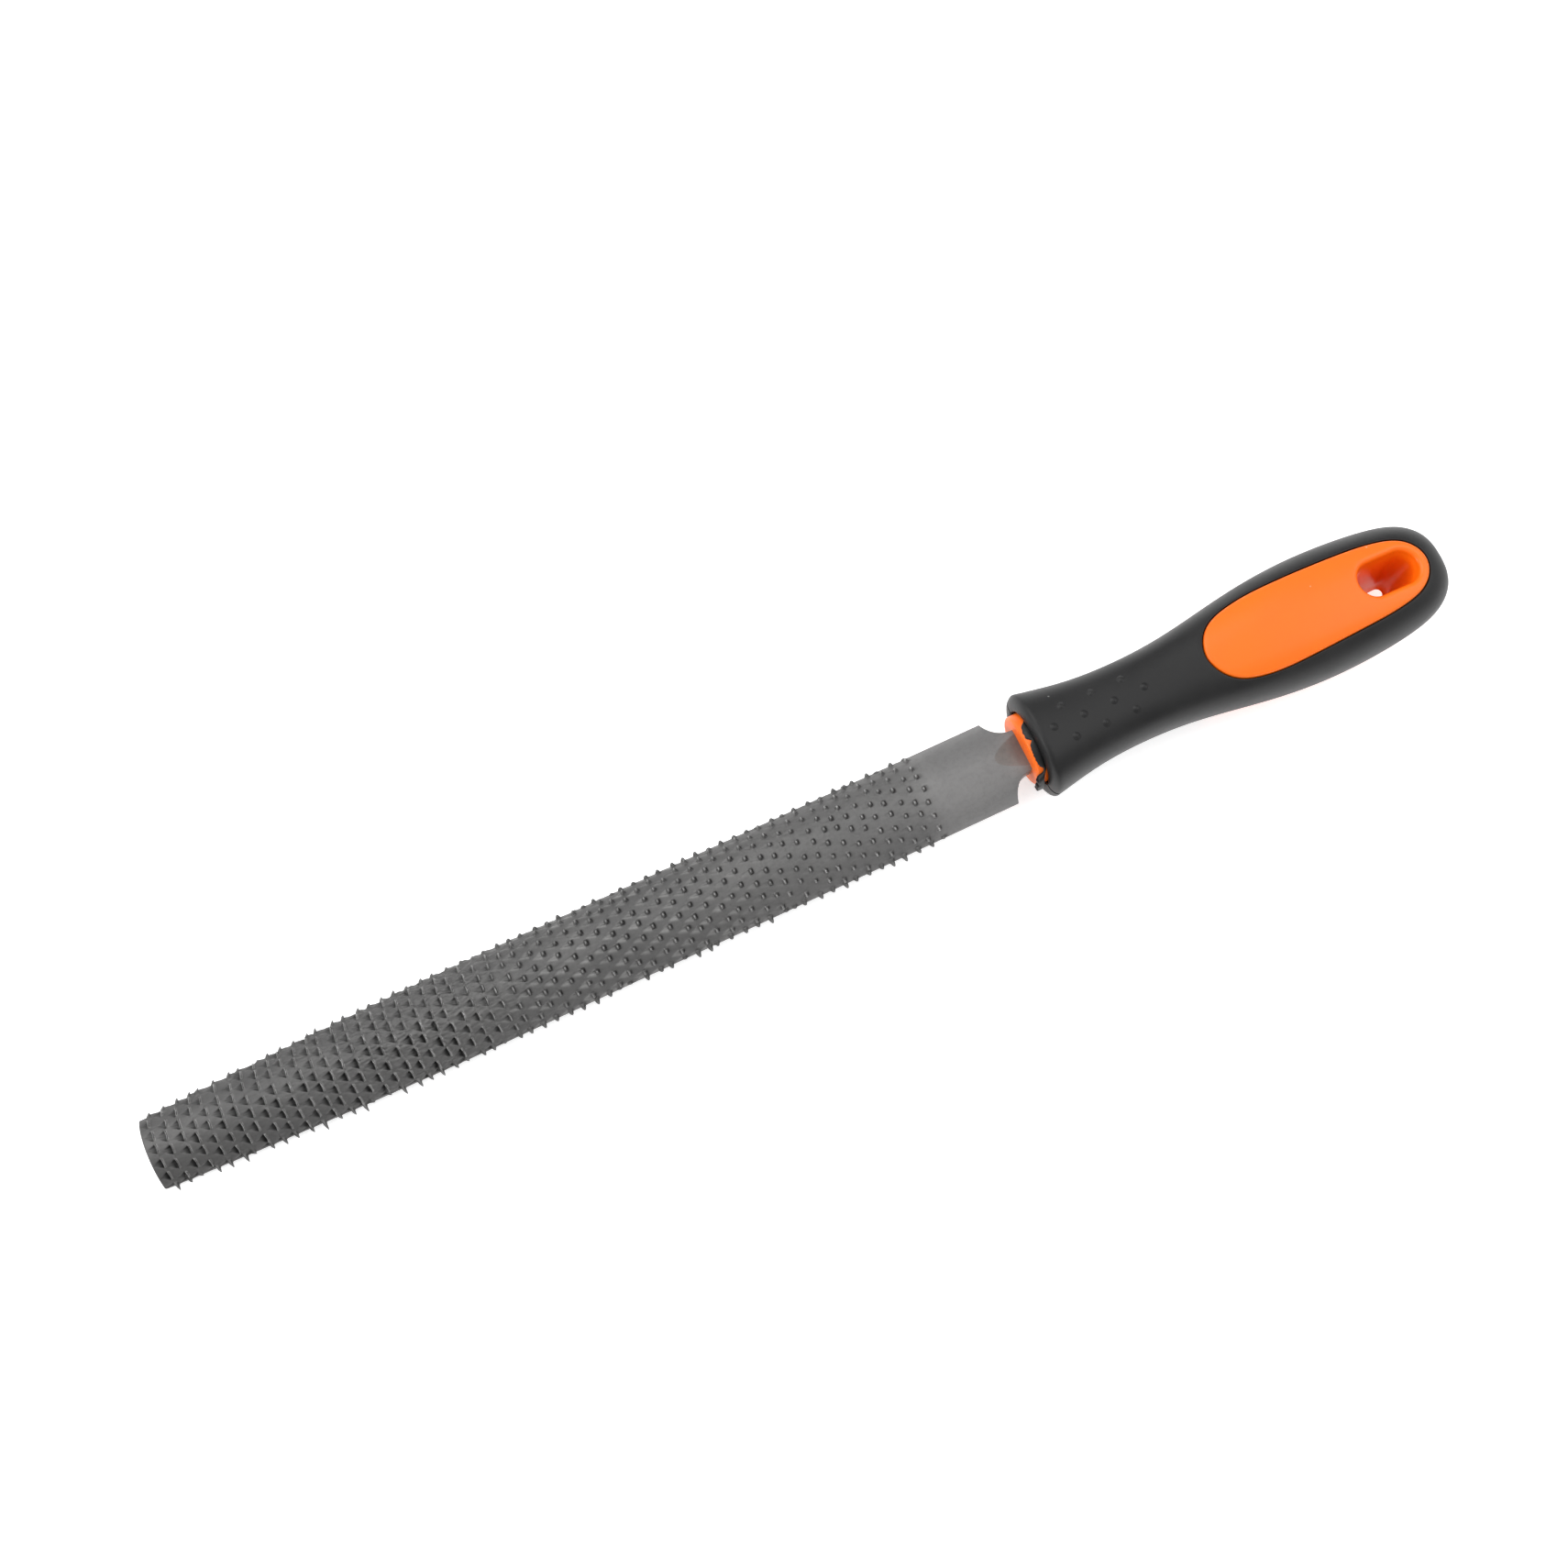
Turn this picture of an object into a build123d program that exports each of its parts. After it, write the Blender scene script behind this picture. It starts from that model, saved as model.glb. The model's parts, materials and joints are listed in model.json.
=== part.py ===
from build123d import *
import math
import os

# A half-round wood rasp: a toothed steel blade with its tang pressed into a two-material moulded handle.
#
# Tool frame: X runs along the tool, from the tip at -X to the end of the handle at +X. The handle's front
# face is at X = 0, its middle is at Z = 0, and the round side of the blade faces +Z. At the end every piece
# is laid down as the tool rests on a bench. The blade outweighs the handle, so it rests on the teeth at its
# tip and on the lower rim of the handle's front.

# ---------------- driving dimensions, mm ----------------

# blade
BLADE_LENGTH = 200.0  # tip to shoulder corners
BLADE_WIDTH = 19.8
BLADE_THICKNESS = 6.0
TIP_WIDTH = 15.5
TIP_THICKNESS = 4.6
TAPER_LENGTH = 75.0  # stretch behind the tip in which the blade grows to its full section
TAPER_POWER = 1.5  # above 1, the blade grows fastest at its tip
TAPER_STEPS = 3
EDGE_LAND = 0.8  # height of the upright land along each edge
FLAT_SIDE_Z = -2.8

# shoulders and tang
SHOULDER_X = -7.2
SCALLOP_RADIUS = 5.0  # quarter-round cut-out in each shoulder
TANG_END_X = 58.0
TANG_END_WIDTH = 3.2
TANG_END_THICKNESS = 2.2
TANG_BEVEL = 0.6
FACET_START_X = SHOULDER_X - 1.5  # the ground facet leaves the crown here and falls towards the tang
FACET_SLOPE = 5.7  # degrees

# teeth
FIRST_COLUMN = 2.2  # distance of the first column from the tip
COLUMN_PITCH = 3.0
ROW_PITCH = 3.1
TOOTHED_LENGTH = 182.0
TOOTH_HEIGHT = 0.9
TOOTH_WIDTH = 1.6
TOOTH_LENGTH = 2.1
TOOTH_ROOT = 0.4  # depth by which a tooth's base is sunk in the bar
EDGE_MARGIN = 1.0  # no tooth stands closer to an edge of its side than this

# handle
HANDLE_LENGTH = 104.6
HANDLE_STATIONS = (  # distance from the front face, half width, half height
    (0.0, 12.5, 11.1),
    (5.0, 11.5, 10.5),
    (12.5, 10.2, 9.75),
    (24.5, 9.45, 9.2),
    (36.0, 10.0, 9.5),
    (48.0, 11.75, 10.4),
    (59.5, 13.45, 11.3),
    (71.5, 14.2, 11.85),
    (83.0, 13.8, 11.6),
    (92.0, 12.75, 10.7),
    (97.7, 11.3, 9.4),
    (101.6, 9.0, 7.4),
    (103.8, 6.2, 5.1),
    (HANDLE_LENGTH, 3.2, 2.6),
)
OVAL_POWER = 2.35  # 2 is an ellipse, more is squarer
OVAL_POINTS = 24
NOSE_ROUNDING = 1.6

# core under the grip
CORE_LENGTH_SHARE = 0.98
CORE_WIDTH_SHARE = 0.85
CORE_HEIGHT_SHARE = 0.80
FRONT_WALL = 2.5  # thickness of the grip's front wall
COLLAR_WIDTH = 16.6
COLLAR_HEIGHT = 15.6
COLLAR_OUT = 2.0  # the collar stands this far out of the handle's front face
COLLAR_ROUNDING = 0.8

# window on each face: distance from the front face and half width, one side of a smooth closed outline
WINDOW_START = 42.6
WINDOW_END = 99.0
WINDOW_SIDE = ((45.4, 5.75), (52.2, 8.7), (65.0, 9.4), (78.9, 8.85), (89.8, 7.75), (96.3, 5.1))

# hang slot, narrowest at its middle height, where the two halves of the mould meet
SLOT_X = 88.6
THROAT_LENGTH = 12.8
THROAT_WIDTH = 5.6
SLOT_DRAFT = 6.2  # degrees by which its walls open towards each face
SLOT_ROUNDING = 1.2

# pips on the neck of the grip, the same on both faces
PIP_SPHERE = 0.95
PIP_STANDS = 0.35
PIP_PITCH_X = 7.5
PIP_PITCH_Y = 3.8
PIP_FIRST_X = 4.6

# parting grooves in the front rim of the grip
GROOVE_WIDTH = 0.5
GROOVE_DEPTH = 0.5

TIP_X = SHOULDER_X - BLADE_LENGTH
TOOL_HEIGHT = 60.0  # taller than the whole tool, for cuts that go right through
os.makedirs("parts", exist_ok=True)


# ---------------- shape laws ----------------


def bar_section(distance):
    """Half width and thickness of the bar at a distance from its tip."""
    left = 1 - min(distance / TAPER_LENGTH, 1)
    grown = 1 - left**TAPER_POWER
    half_width = (TIP_WIDTH + (BLADE_WIDTH - TIP_WIDTH) * grown) / 2
    return half_width, TIP_THICKNESS + (BLADE_THICKNESS - TIP_THICKNESS) * grown


def cross_plane(x, z=0.0):
    """A plane across the tool at x, with its own X along the tool's Y and its own Y up."""
    return Plane(origin=(x, 0, z), x_dir=(0, 1, 0), z_dir=(1, 0, 0))


def oval(half_width, half_height):
    """Points round a superellipse, for a closed spline."""
    points = []
    for step in range(OVAL_POINTS):
        angle = 2 * math.pi * step / OVAL_POINTS
        across, up = math.cos(angle), math.sin(angle)
        size = (abs(across) ** OVAL_POWER + abs(up) ** OVAL_POWER) ** (-1 / OVAL_POWER)
        points.append((half_width * across * size, half_height * up * size))
    return points


def row_offsets(column, half_length):
    """Where the teeth of one column stand along their side; every other column is shifted by half a pitch."""
    shift = (column % 2) / 2
    count = int(half_length / ROW_PITCH) + 1
    offsets = [(row + shift) * ROW_PITCH for row in range(-count, count + 1)]
    return [offset for offset in offsets if abs(offset) <= half_length]


def tooth_places():
    """Locations of all teeth: one staggered lattice on the round side and one on the flat side."""
    places = []
    for column in range(int((TOOTHED_LENGTH - FIRST_COLUMN) / COLUMN_PITCH) + 1):
        distance = FIRST_COLUMN + column * COLUMN_PITCH
        x = TIP_X + distance
        half_width, thickness = bar_section(distance)
        rise = thickness - EDGE_LAND
        crown_radius = (half_width**2 + rise**2) / (2 * rise)
        crown_centre = FLAT_SIDE_Z + thickness - crown_radius
        half_arc = crown_radius * math.asin(half_width / crown_radius)
        for arc in row_offsets(column, half_arc - EDGE_MARGIN):
            angle = arc / crown_radius
            y = crown_radius * math.sin(angle)
            z = crown_centre + crown_radius * math.cos(angle)
            places.append(Location((x, y, z), (-math.degrees(angle), 0, 0)))
        for y in row_offsets(column, half_width - EDGE_MARGIN):
            places.append(Location((x, y, FLAT_SIDE_Z), (180, 0, 0)))
    return places


# ---------------- blade: bar, shoulders, tang and teeth in one forging ----------------

with BuildPart() as tooth:
    with BuildSketch(Plane.XY.offset(-TOOTH_ROOT)):
        Polygon((0, -TOOTH_WIDTH / 2), (TOOTH_LENGTH, 0), (0, TOOTH_WIDTH / 2), align=None)
    with BuildSketch(Plane.XY.offset(TOOTH_HEIGHT)):
        Polygon((-0.3, -0.08), (-0.15, 0), (-0.3, 0.08), align=None)
    loft(ruled=True)

neck_half_width = BLADE_WIDTH / 2 - SCALLOP_RADIUS
neck_x = SHOULDER_X + SCALLOP_RADIUS
crown_top = FLAT_SIDE_Z + BLADE_THICKNESS
neck_top = crown_top - (neck_x - FACET_START_X) * math.tan(math.radians(FACET_SLOPE))

with BuildPart() as tang:
    with BuildSketch(cross_plane(neck_x)):
        with Locations((0, (neck_top + FLAT_SIDE_Z) / 2)):
            Rectangle(2 * neck_half_width, neck_top - FLAT_SIDE_Z)
        chamfer(vertices(), TANG_BEVEL)
    with BuildSketch(cross_plane(TANG_END_X)):
        Rectangle(TANG_END_WIDTH, TANG_END_THICKNESS)
        chamfer(vertices(), TANG_BEVEL)
    loft(ruled=True)

with BuildPart() as blade:
    # the tapering stretch of the bar, then the straight one up to the neck
    for station in range(TAPER_STEPS + 1):
        from_tip = TAPER_LENGTH * station / TAPER_STEPS
        half, thick = bar_section(from_tip)
        with BuildSketch(cross_plane(TIP_X + from_tip, FLAT_SIDE_Z)):
            with BuildLine():
                ThreePointArc((half, EDGE_LAND), (0, thick), (-half, EDGE_LAND))
                Polyline((-half, EDGE_LAND), (-half, 0), (half, 0), (half, EDGE_LAND))
            make_face()
    loft()
    extrude(blade.faces().sort_by(Axis.X)[-1], amount=neck_x - TIP_X - TAPER_LENGTH)
    # scallops in the shoulders
    with BuildSketch(Plane.XY.offset(-TOOL_HEIGHT / 2)):
        with Locations((neck_x, BLADE_WIDTH / 2), (neck_x, -BLADE_WIDTH / 2)):
            Circle(SCALLOP_RADIUS)
    extrude(amount=TOOL_HEIGHT, mode=Mode.SUBTRACT)
    # ground facet where the crown runs down to the tang
    with BuildSketch(Plane.XZ.offset(-BLADE_WIDTH)):
        Polygon((FACET_START_X, crown_top), (neck_x, neck_top), (neck_x, crown_top), align=None)
    extrude(amount=2 * BLADE_WIDTH, mode=Mode.SUBTRACT)
    add(tang.part)
    with Locations(*tooth_places()):
        add(tooth.part)

# ---------------- forms of the handle ----------------

with BuildPart() as outer_form:
    for x, half_width, half_height in HANDLE_STATIONS:
        with BuildSketch(cross_plane(x)):
            with BuildLine():
                Spline(*oval(half_width, half_height), periodic=True)
            make_face()
    loft()
    fillet(outer_form.faces().sort_by(Axis.X)[0].edges(), NOSE_ROUNDING)

with BuildPart() as core_form:
    for x, half_width, half_height in HANDLE_STATIONS:
        with BuildSketch(cross_plane(x * CORE_LENGTH_SHARE)):
            with BuildLine():
                Spline(*oval(half_width * CORE_WIDTH_SHARE, half_height * CORE_HEIGHT_SHARE), periodic=True)
            make_face()
    loft()
    split(bisect_by=Plane.YZ.offset(FRONT_WALL), keep=Keep.TOP)

with BuildPart() as window_pads:
    far_side = [(x, -y) for x, y in reversed(WINDOW_SIDE)]
    with BuildSketch(Plane.XY.offset(-TOOL_HEIGHT / 2)):
        with BuildLine():
            Spline((WINDOW_START, 0), *WINDOW_SIDE, (WINDOW_END, 0), *far_side, periodic=True)
        make_face()
    extrude(amount=TOOL_HEIGHT)
    add(outer_form.part, mode=Mode.INTERSECT)

with BuildPart() as core_blank:
    add(core_form.part)
    add(window_pads.part)
    with BuildSketch(cross_plane(-COLLAR_OUT)):
        Ellipse(COLLAR_WIDTH / 2, COLLAR_HEIGHT / 2)
    extrude(amount=COLLAR_OUT + 2 * FRONT_WALL)
    fillet(core_blank.faces().sort_by(Axis.X)[0].edges(), COLLAR_ROUNDING)

# ---------------- handle core: collar, tang socket, windows and hang slot ----------------

with BuildPart() as handle_core:
    add(core_blank.part)
    with BuildSketch(Plane.XY):
        with Locations((SLOT_X, 0)):
            SlotOverall(THROAT_LENGTH, THROAT_WIDTH)
    extrude(amount=TOOL_HEIGHT / 2, both=True, taper=-SLOT_DRAFT, mode=Mode.SUBTRACT)
    slot_walls = handle_core.faces(Select.LAST)
    level_edges = [edge for edge in slot_walls.edges() if abs(edge.tangent_at(0.5).Z) < 0.7]
    fillet([edge for edge in level_edges if abs(edge.center().Z) > 1], SLOT_ROUNDING)
    add(tang.part, mode=Mode.SUBTRACT)

# ---------------- grip: soft overmould round the core ----------------

with BuildPart() as grip:
    add(outer_form.part)
    add(core_blank.part, mode=Mode.SUBTRACT)
    # parting grooves in the front rim, one on each side
    with Locations((0, BLADE_WIDTH / 2 + COLLAR_WIDTH / 4, 0), (0, -BLADE_WIDTH / 2 - COLLAR_WIDTH / 4, 0)):
        Box(2 * GROOVE_DEPTH, BLADE_WIDTH / 2, GROOVE_WIDTH, mode=Mode.SUBTRACT)
    # staggered rows of pips on both faces of the neck
    pip_spots = [(PIP_FIRST_X + PIP_PITCH_X * step, 0) for step in range(4)]
    for row_y in (-PIP_PITCH_Y, PIP_PITCH_Y):
        pip_spots += [(PIP_FIRST_X + PIP_PITCH_X * (step + 0.5), row_y) for step in range(3)]
    pip_centres = []
    for spot_x, spot_y in pip_spots:
        hits = outer_form.part.find_intersection_points(Axis((spot_x, spot_y, -TOOL_HEIGHT), (0, 0, 1)))
        for point, normal in hits:
            outward = math.copysign(1, point.Z)
            pip_centres.append((point.X, point.Y, point.Z + outward * (PIP_STANDS - PIP_SPHERE)))
    with Locations(*pip_centres):
        Sphere(PIP_SPHERE)
    add(core_blank.part, mode=Mode.SUBTRACT)

# ---------------- resting pose and export ----------------

_, _, front_height = HANDLE_STATIONS[0]
next_x, _, next_height = HANDLE_STATIONS[1]
rim_height = front_height + (next_height - front_height) * NOSE_ROUNDING / next_x
drop = rim_height + FLAT_SIDE_Z - TOOTH_HEIGHT
run = NOSE_ROUNDING - TIP_X - FIRST_COLUMN
rest_tilt = Rotation(0, -math.degrees(math.atan2(drop, run)), 0)
pieces = (blade, handle_core, grip)
tilted_box = Compound([rest_tilt * piece.part for piece in pieces]).bounding_box()
rest_pose = Pos(-tilted_box.center().X, 0, -tilted_box.min.Z) * rest_tilt

for piece in pieces:
    piece.part.locate(rest_pose)
blade.part.label = "blade"
handle_core.part.label = "handle_core"
grip.part.label = "grip"

export_step(blade.part, "parts/blade.step")
export_step(handle_core.part, "parts/handle_core.step")
export_step(grip.part, "parts/grip.step")
slot_middle = rest_pose * Location((SLOT_X, 0, 0))
print("rest pose:", rest_pose)
print("hang slot:", slot_middle)
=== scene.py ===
import json
import math

import bmesh
import bpy
import numpy as np
from mathutils import Matrix, Vector, geometry


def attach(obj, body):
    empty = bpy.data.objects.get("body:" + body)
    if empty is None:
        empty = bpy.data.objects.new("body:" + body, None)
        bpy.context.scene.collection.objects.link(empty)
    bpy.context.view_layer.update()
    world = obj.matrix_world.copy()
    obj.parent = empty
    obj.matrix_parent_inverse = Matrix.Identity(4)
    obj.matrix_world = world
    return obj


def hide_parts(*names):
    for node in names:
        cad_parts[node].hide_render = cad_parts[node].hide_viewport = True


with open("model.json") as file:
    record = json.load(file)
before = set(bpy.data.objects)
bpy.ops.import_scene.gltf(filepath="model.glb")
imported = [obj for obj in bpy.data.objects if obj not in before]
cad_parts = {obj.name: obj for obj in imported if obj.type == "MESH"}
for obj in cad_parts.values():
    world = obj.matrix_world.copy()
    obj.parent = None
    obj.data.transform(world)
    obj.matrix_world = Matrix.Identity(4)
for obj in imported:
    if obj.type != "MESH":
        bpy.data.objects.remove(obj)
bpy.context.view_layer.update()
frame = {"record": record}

# The looks of a half-round wood rasp: a toothed steel blade, an orange core and a black rubber grip round it.
#
# Shapes are worked out in millimetres in the tool frame, as in the CAD model: X along the tool, the handle's
# front face at X = 0, the middle of the handle at Z = 0 and the round side of the blade up.

# ---------------- driving dimensions, mm ----------------

# blade
BLADE_LENGTH = 200.0  # tip to shoulder corners
BLADE_WIDTH, BLADE_THICKNESS = 19.8, 6.0
TIP_WIDTH, TIP_THICKNESS = 15.5, 4.6
TAPER_LENGTH, TAPER_POWER = 75.0, 1.5
EDGE_LAND = 0.8  # height of the upright land along each edge
FLAT_SIDE_Z = -2.8
SHOULDER_X, SCALLOP_RADIUS = -7.2, 5.0
FACET_START_X, FACET_SLOPE = -8.7, math.radians(5.7)  # ground facet that falls from the crown to the tang
TIP_BREAK = ((0.0, 0.22), (0.07, 0.07), (0.22, 0.0))  # broken corners: distance from the tip, how deep
TANG_STATIONS = (4.0, 20.0, 40.0, 58.0)  # X of the tang's rings, its end last
TANG_END_WIDTH, TANG_END_THICKNESS = 3.1, 2.1
TIP_X = SHOULDER_X - BLADE_LENGTH
NECK_X = SHOULDER_X + SCALLOP_RADIUS

# mesh of the blade
CROWN_SAMPLES, FLAT_SAMPLES, LAND_SAMPLES = 157, 101, 3
HEEL_SPACING = 0.9  # between the rings of the smooth heel
# rings round each column of teeth: distance from the crest, tip side negative
COLUMN_RINGS = (-1.85, -1.5, -1.2, -0.92, -0.7, -0.5, -0.34, -0.2, -0.1,
                0.0, 0.12, 0.24, 0.36, 0.5, 0.68, 0.9)

# lattice of the teeth
FIRST_COLUMN, COLUMN_PITCH, COLUMNS = 2.2, 2.98, 61
ROW_PITCH = 3.1
COLUMN_JITTER, ROW_JITTER, EDGE_JITTER = 0.2, 0.18, 0.3
EDGE_MARGIN = 1.0  # between the inner teeth and an edge of their side
FLAT_EDGE_INSET = 0.9  # between the outermost teeth of the flat side and its edges
# added to the half pitch by which each column is shifted: distance from which it holds, share of a pitch
LATTICE_DRIFT = ((135.0, 0.075), (90.0, -0.055), (0.0, 0.0))

# teeth. A pair holds the size of the broad chips near the tip and that of the small nubs near the heel.
CHIPS_TO_NUBS = (66.0, 96.0)  # distances from the tip between which the one turns into the other
TOOTH_HEIGHT = (0.68, 0.88)
TOOTH_HALF_WIDTH = (1.14, 0.61)
TOOTH_LEAN = (0.3, 0.0)
HIGHEST_BELOW = 0.9  # the flat side's teeth are cut off at this height
LONG_EDGE_TEETH = (80.0, 50.0)  # distances from the tip between which the edge teeth grow to their full size
# height of an edge tooth against an inner one, lowest and highest: near the heel, and what the tip adds
NEAR_EDGE_STAND = ((0.62, 1.08), (0.55, 0.95))
FAR_EDGE_STAND = ((0.4, 0.9), (0.45, 0.35))
STUB_CHANCE, STUB_STAND = 0.22, 0.35  # share of the edge teeth that are stubs, and how high they stand
NEAR_EDGE_PUSH, FAR_EDGE_PUSH = -0.65, 0.35  # sideways lean of an edge tooth, per height
# distances from the tip between which the lighter patches come, and between which they go
PATCHES_COME, PATCHES_GO = (74.0, 94.0), (152.0, 118.0)
TOOTH_REACH = 2.9  # a tooth changes its side no further than this along the bar

# finish of the blade, with painted highlight and painted shade in it: what each point of its mesh is marked
# with
MARKS = ("painted_highlight", "painted_shade", "patch", "facet", "tone")
# share of full brightness: distance from the tip, share
TONES = ((0.0, 0.465), (60.0, 0.5), (125.0, 0.54), (178.0, 0.66), (184.0, 0.93))
# painted light across the round side, lighter or darker as the light falls on it: place across it from the -Y
# edge to the +Y edge, added share
PAINTED_FLANK_LIGHT = ((-1.0, 0.1), (-0.6, 0.18), (-0.1, 0.0), (0.25, -0.1), (0.7, 0.0), (1.0, 0.02))
PAINTED_FLANK_FROM = (10.0, 40.0)  # distances from the tip between which this painted light comes in

# handle
HANDLE_STATIONS = np.array((  # distance from the front face, half width, half height
    (0.0, 12.5, 11.1), (5.0, 11.5, 10.5), (12.5, 10.2, 9.75), (24.5, 9.45, 9.2), (36.0, 10.0, 9.5),
    (48.0, 11.75, 10.4), (59.5, 13.45, 11.3), (71.5, 14.2, 11.85), (83.0, 13.8, 11.6), (92.0, 12.75, 10.7),
    (97.7, 11.3, 9.4), (101.6, 9.0, 7.4), (103.8, 6.2, 5.1), (104.6, 3.2, 2.6),
))
OVAL_POWER = 2.35  # 2 is an ellipse, more is squarer
NOSE_ROUNDING, NOSE_DOME = 1.6, 2.9  # the nose's rounding, along the handle and across it
TAIL_DOME = ((104.25, 4.9, 3.95), (104.6, 3.3, 2.65), (104.82, 1.6, 1.3))  # as the stations
TAIL_END_X, TAIL_POWER = 104.9, 2.1
INNER_TAIL_SHRINK = 0.2  # share by which the dome narrows for each millimetre of inset
GRIP_THICKNESS, FRONT_WALL = 1.5, 2.5
COLLAR_WIDTH, COLLAR_HEIGHT = 16.6, 15.6
COLLAR_OUT, COLLAR_DEPTH, COLLAR_ROUNDING = 2.0, 12.0, 0.8
COLLAR_FACE_INSET = 3.0  # from the collar's side to the inner ring of its end faces
COLLAR_CLEARANCE = 0.5  # between the collar and the hole in the grip's front
SKIN_SPACING = 0.85
SKIN_RADIUS = 11.0  # turns an angle round the handle into a length of skin

# parting grooves in the front rim, at the middle plane
GROOVE_DEPTH = 0.7
GROOVE_WALL = (0.022, 0.034)  # angles from the middle plane between which a groove's wall rises, radians
groove_angles = [(middle + side * angle) % (2 * math.pi)
                 for middle in (0, math.pi) for side in (1, -1) for angle in GROOVE_WALL]
RIM_THETA = np.sort(np.append(np.linspace(0, 2 * math.pi, 96, endpoint=False), groove_angles))
RIM_POINTS = len(RIM_THETA)

# window on each face: distance from the front face, place across
WINDOW_OUTLINE = np.array((
    (42.6, 0.0), (45.4, 5.75), (52.2, 8.7), (65.0, 9.4), (78.9, 8.85), (89.8, 7.75), (96.3, 5.1), (99.0, 0.0),
    (96.3, -5.1), (89.8, -7.75), (78.9, -8.85), (65.0, -9.4), (52.2, -8.7), (45.4, -5.75),
))
WINDOW_POINTS = 220
GAP = 0.09  # half the seam between the pad and the grip
# rounded lip along the seam: distance from the seam, drop below the skin
LIP = ((0.46, 0.0), (0.33, 0.02), (0.2, 0.08), (0.1, 0.19), (0.03, 0.33), (0.0, 0.5), (0.0, 1.5))

# hang slot
SLOT_X = 88.6
THROAT_LENGTH, THROAT_WIDTH = 12.8, 5.6
SLOT_DRAFT = math.radians(6.2)  # above the throat its walls open towards the upper face
SLOT_NARROWING = 0.13  # below the throat they close in by this much per millimetre
SLOT_ROUNDING = 1.2
MOUTH_LEVEL = 11.0  # height at which the walls meet the rounded mouth
WALL_LEVELS = (8.0, 6.0, 4.0, 2.0, 0.6, 0.15)
SLOT_POINTS = 112

# pips on both faces of the neck
PIP_RADIUS, PIP_HEIGHT, PIP_SUNK = 1.05, 0.42, 0.04
PIP_FIRST_X, PIP_PITCH_X, PIP_PITCH_Y = 4.6, 7.5, 3.8
PIP_POINTS = 24

# film of rubber torn over the collar, in degrees round it from the +Y side
FLASH_START, FLASH_END, FLASH_STEP = 56, 206, 2.5
# its torn border: place round the collar, X
FLASH_EDGE = ((56, -0.3), (63, -1.0), (74, -1.5), (85, -1.6), (91, -0.7), (97, -1.4), (112, -1.6),
              (124, -1.5), (133, -1.1), (140, -0.3), (145, -0.6), (150, -2.2), (158, -2.75), (163, -2.4),
              (170, -2.9), (178, -2.5), (188, -2.7), (196, -1.6), (206, -0.4))
# its section, closed: share of the way to the torn border, lift off the collar
FLASH_SECTION = ((0.0, -0.12), (0.0, 0.22), (0.35, 0.34), (0.7, 0.3), (0.93, 0.2), (1.0, 0.05), (0.9, -0.12))
FLASH_BACK = (0.15, -1.05)  # X of its back border: of the thin film, of the lump
FLASH_LUMP_LIFT = 0.9

# ---------------- the tool frame, from the record's hang slot ----------------

slot_mount = next(m for m in frame["record"]["mounts"] if m["name"] == "hang_slot")
tool_up = Vector(slot_mount["axis"]).normalized()
tool_along = Vector((0, 1, 0)).cross(tool_up)
tool_frame = Matrix((tool_along, (0, 1, 0), tool_up)).transposed().to_4x4()
tool_frame.translation = Vector(slot_mount["pos_m"]) - tool_along * SLOT_X / 1000


def make_piece(name, verts, faces, sharp_angle, weld=True):
    """A mesh piece from millimetres in the tool frame, moved to the record's frame and riding on the tool."""
    mesh = bpy.data.meshes.new(name)
    mesh.from_pydata([tuple(v) for v in np.asarray(verts) / 1000], [], faces)
    mesh.transform(tool_frame)
    work = bmesh.new()
    work.from_mesh(mesh)
    if weld:
        bmesh.ops.remove_doubles(work, verts=work.verts, dist=2e-6)
    bmesh.ops.recalc_face_normals(work, faces=work.faces)
    work.to_mesh(mesh)
    work.free()
    mesh.polygons.foreach_set("use_smooth", [True] * len(mesh.polygons))
    mesh.set_sharp_from_angle(angle=math.radians(sharp_angle))
    piece = bpy.data.objects.new(name, mesh)
    bpy.context.scene.collection.objects.link(piece)
    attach(piece, "root")
    return piece


def strips(rows, closed=True):
    """Quads between consecutive rows of vertex numbers."""
    faces = []
    for low, high in zip(rows, rows[1:]):
        count = len(low)
        for k in range(count if closed else count - 1):
            faces.append((low[k], low[(k + 1) % count], high[(k + 1) % count], high[k]))
    return faces


def add_row(verts, points):
    """Add a row of points to the vertices, and return their numbers."""
    first = len(verts)
    verts += [tuple(point) for point in points]
    return list(range(first, len(verts)))


def close_ring(verts, faces, ring, middle):
    """Close a ring of vertices with a fan of triangles round a point in its middle."""
    verts.append(middle)
    faces += [(ring[k], ring[(k + 1) % len(ring)], len(verts) - 1) for k in range(len(ring))]


def smooth(value):
    """Smooth step of a value held between 0 and 1."""
    value = np.clip(value, 0, 1)
    return value * value * (3 - 2 * value)


def rise(value, start, end):
    """Smooth step from 0 at one place to 1 at another."""
    return smooth((value - start) / (end - start))


def between(pair, share):
    """Value between the two of a pair."""
    return pair[0] + (pair[1] - pair[0]) * share


# ---------------- teeth ----------------


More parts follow.
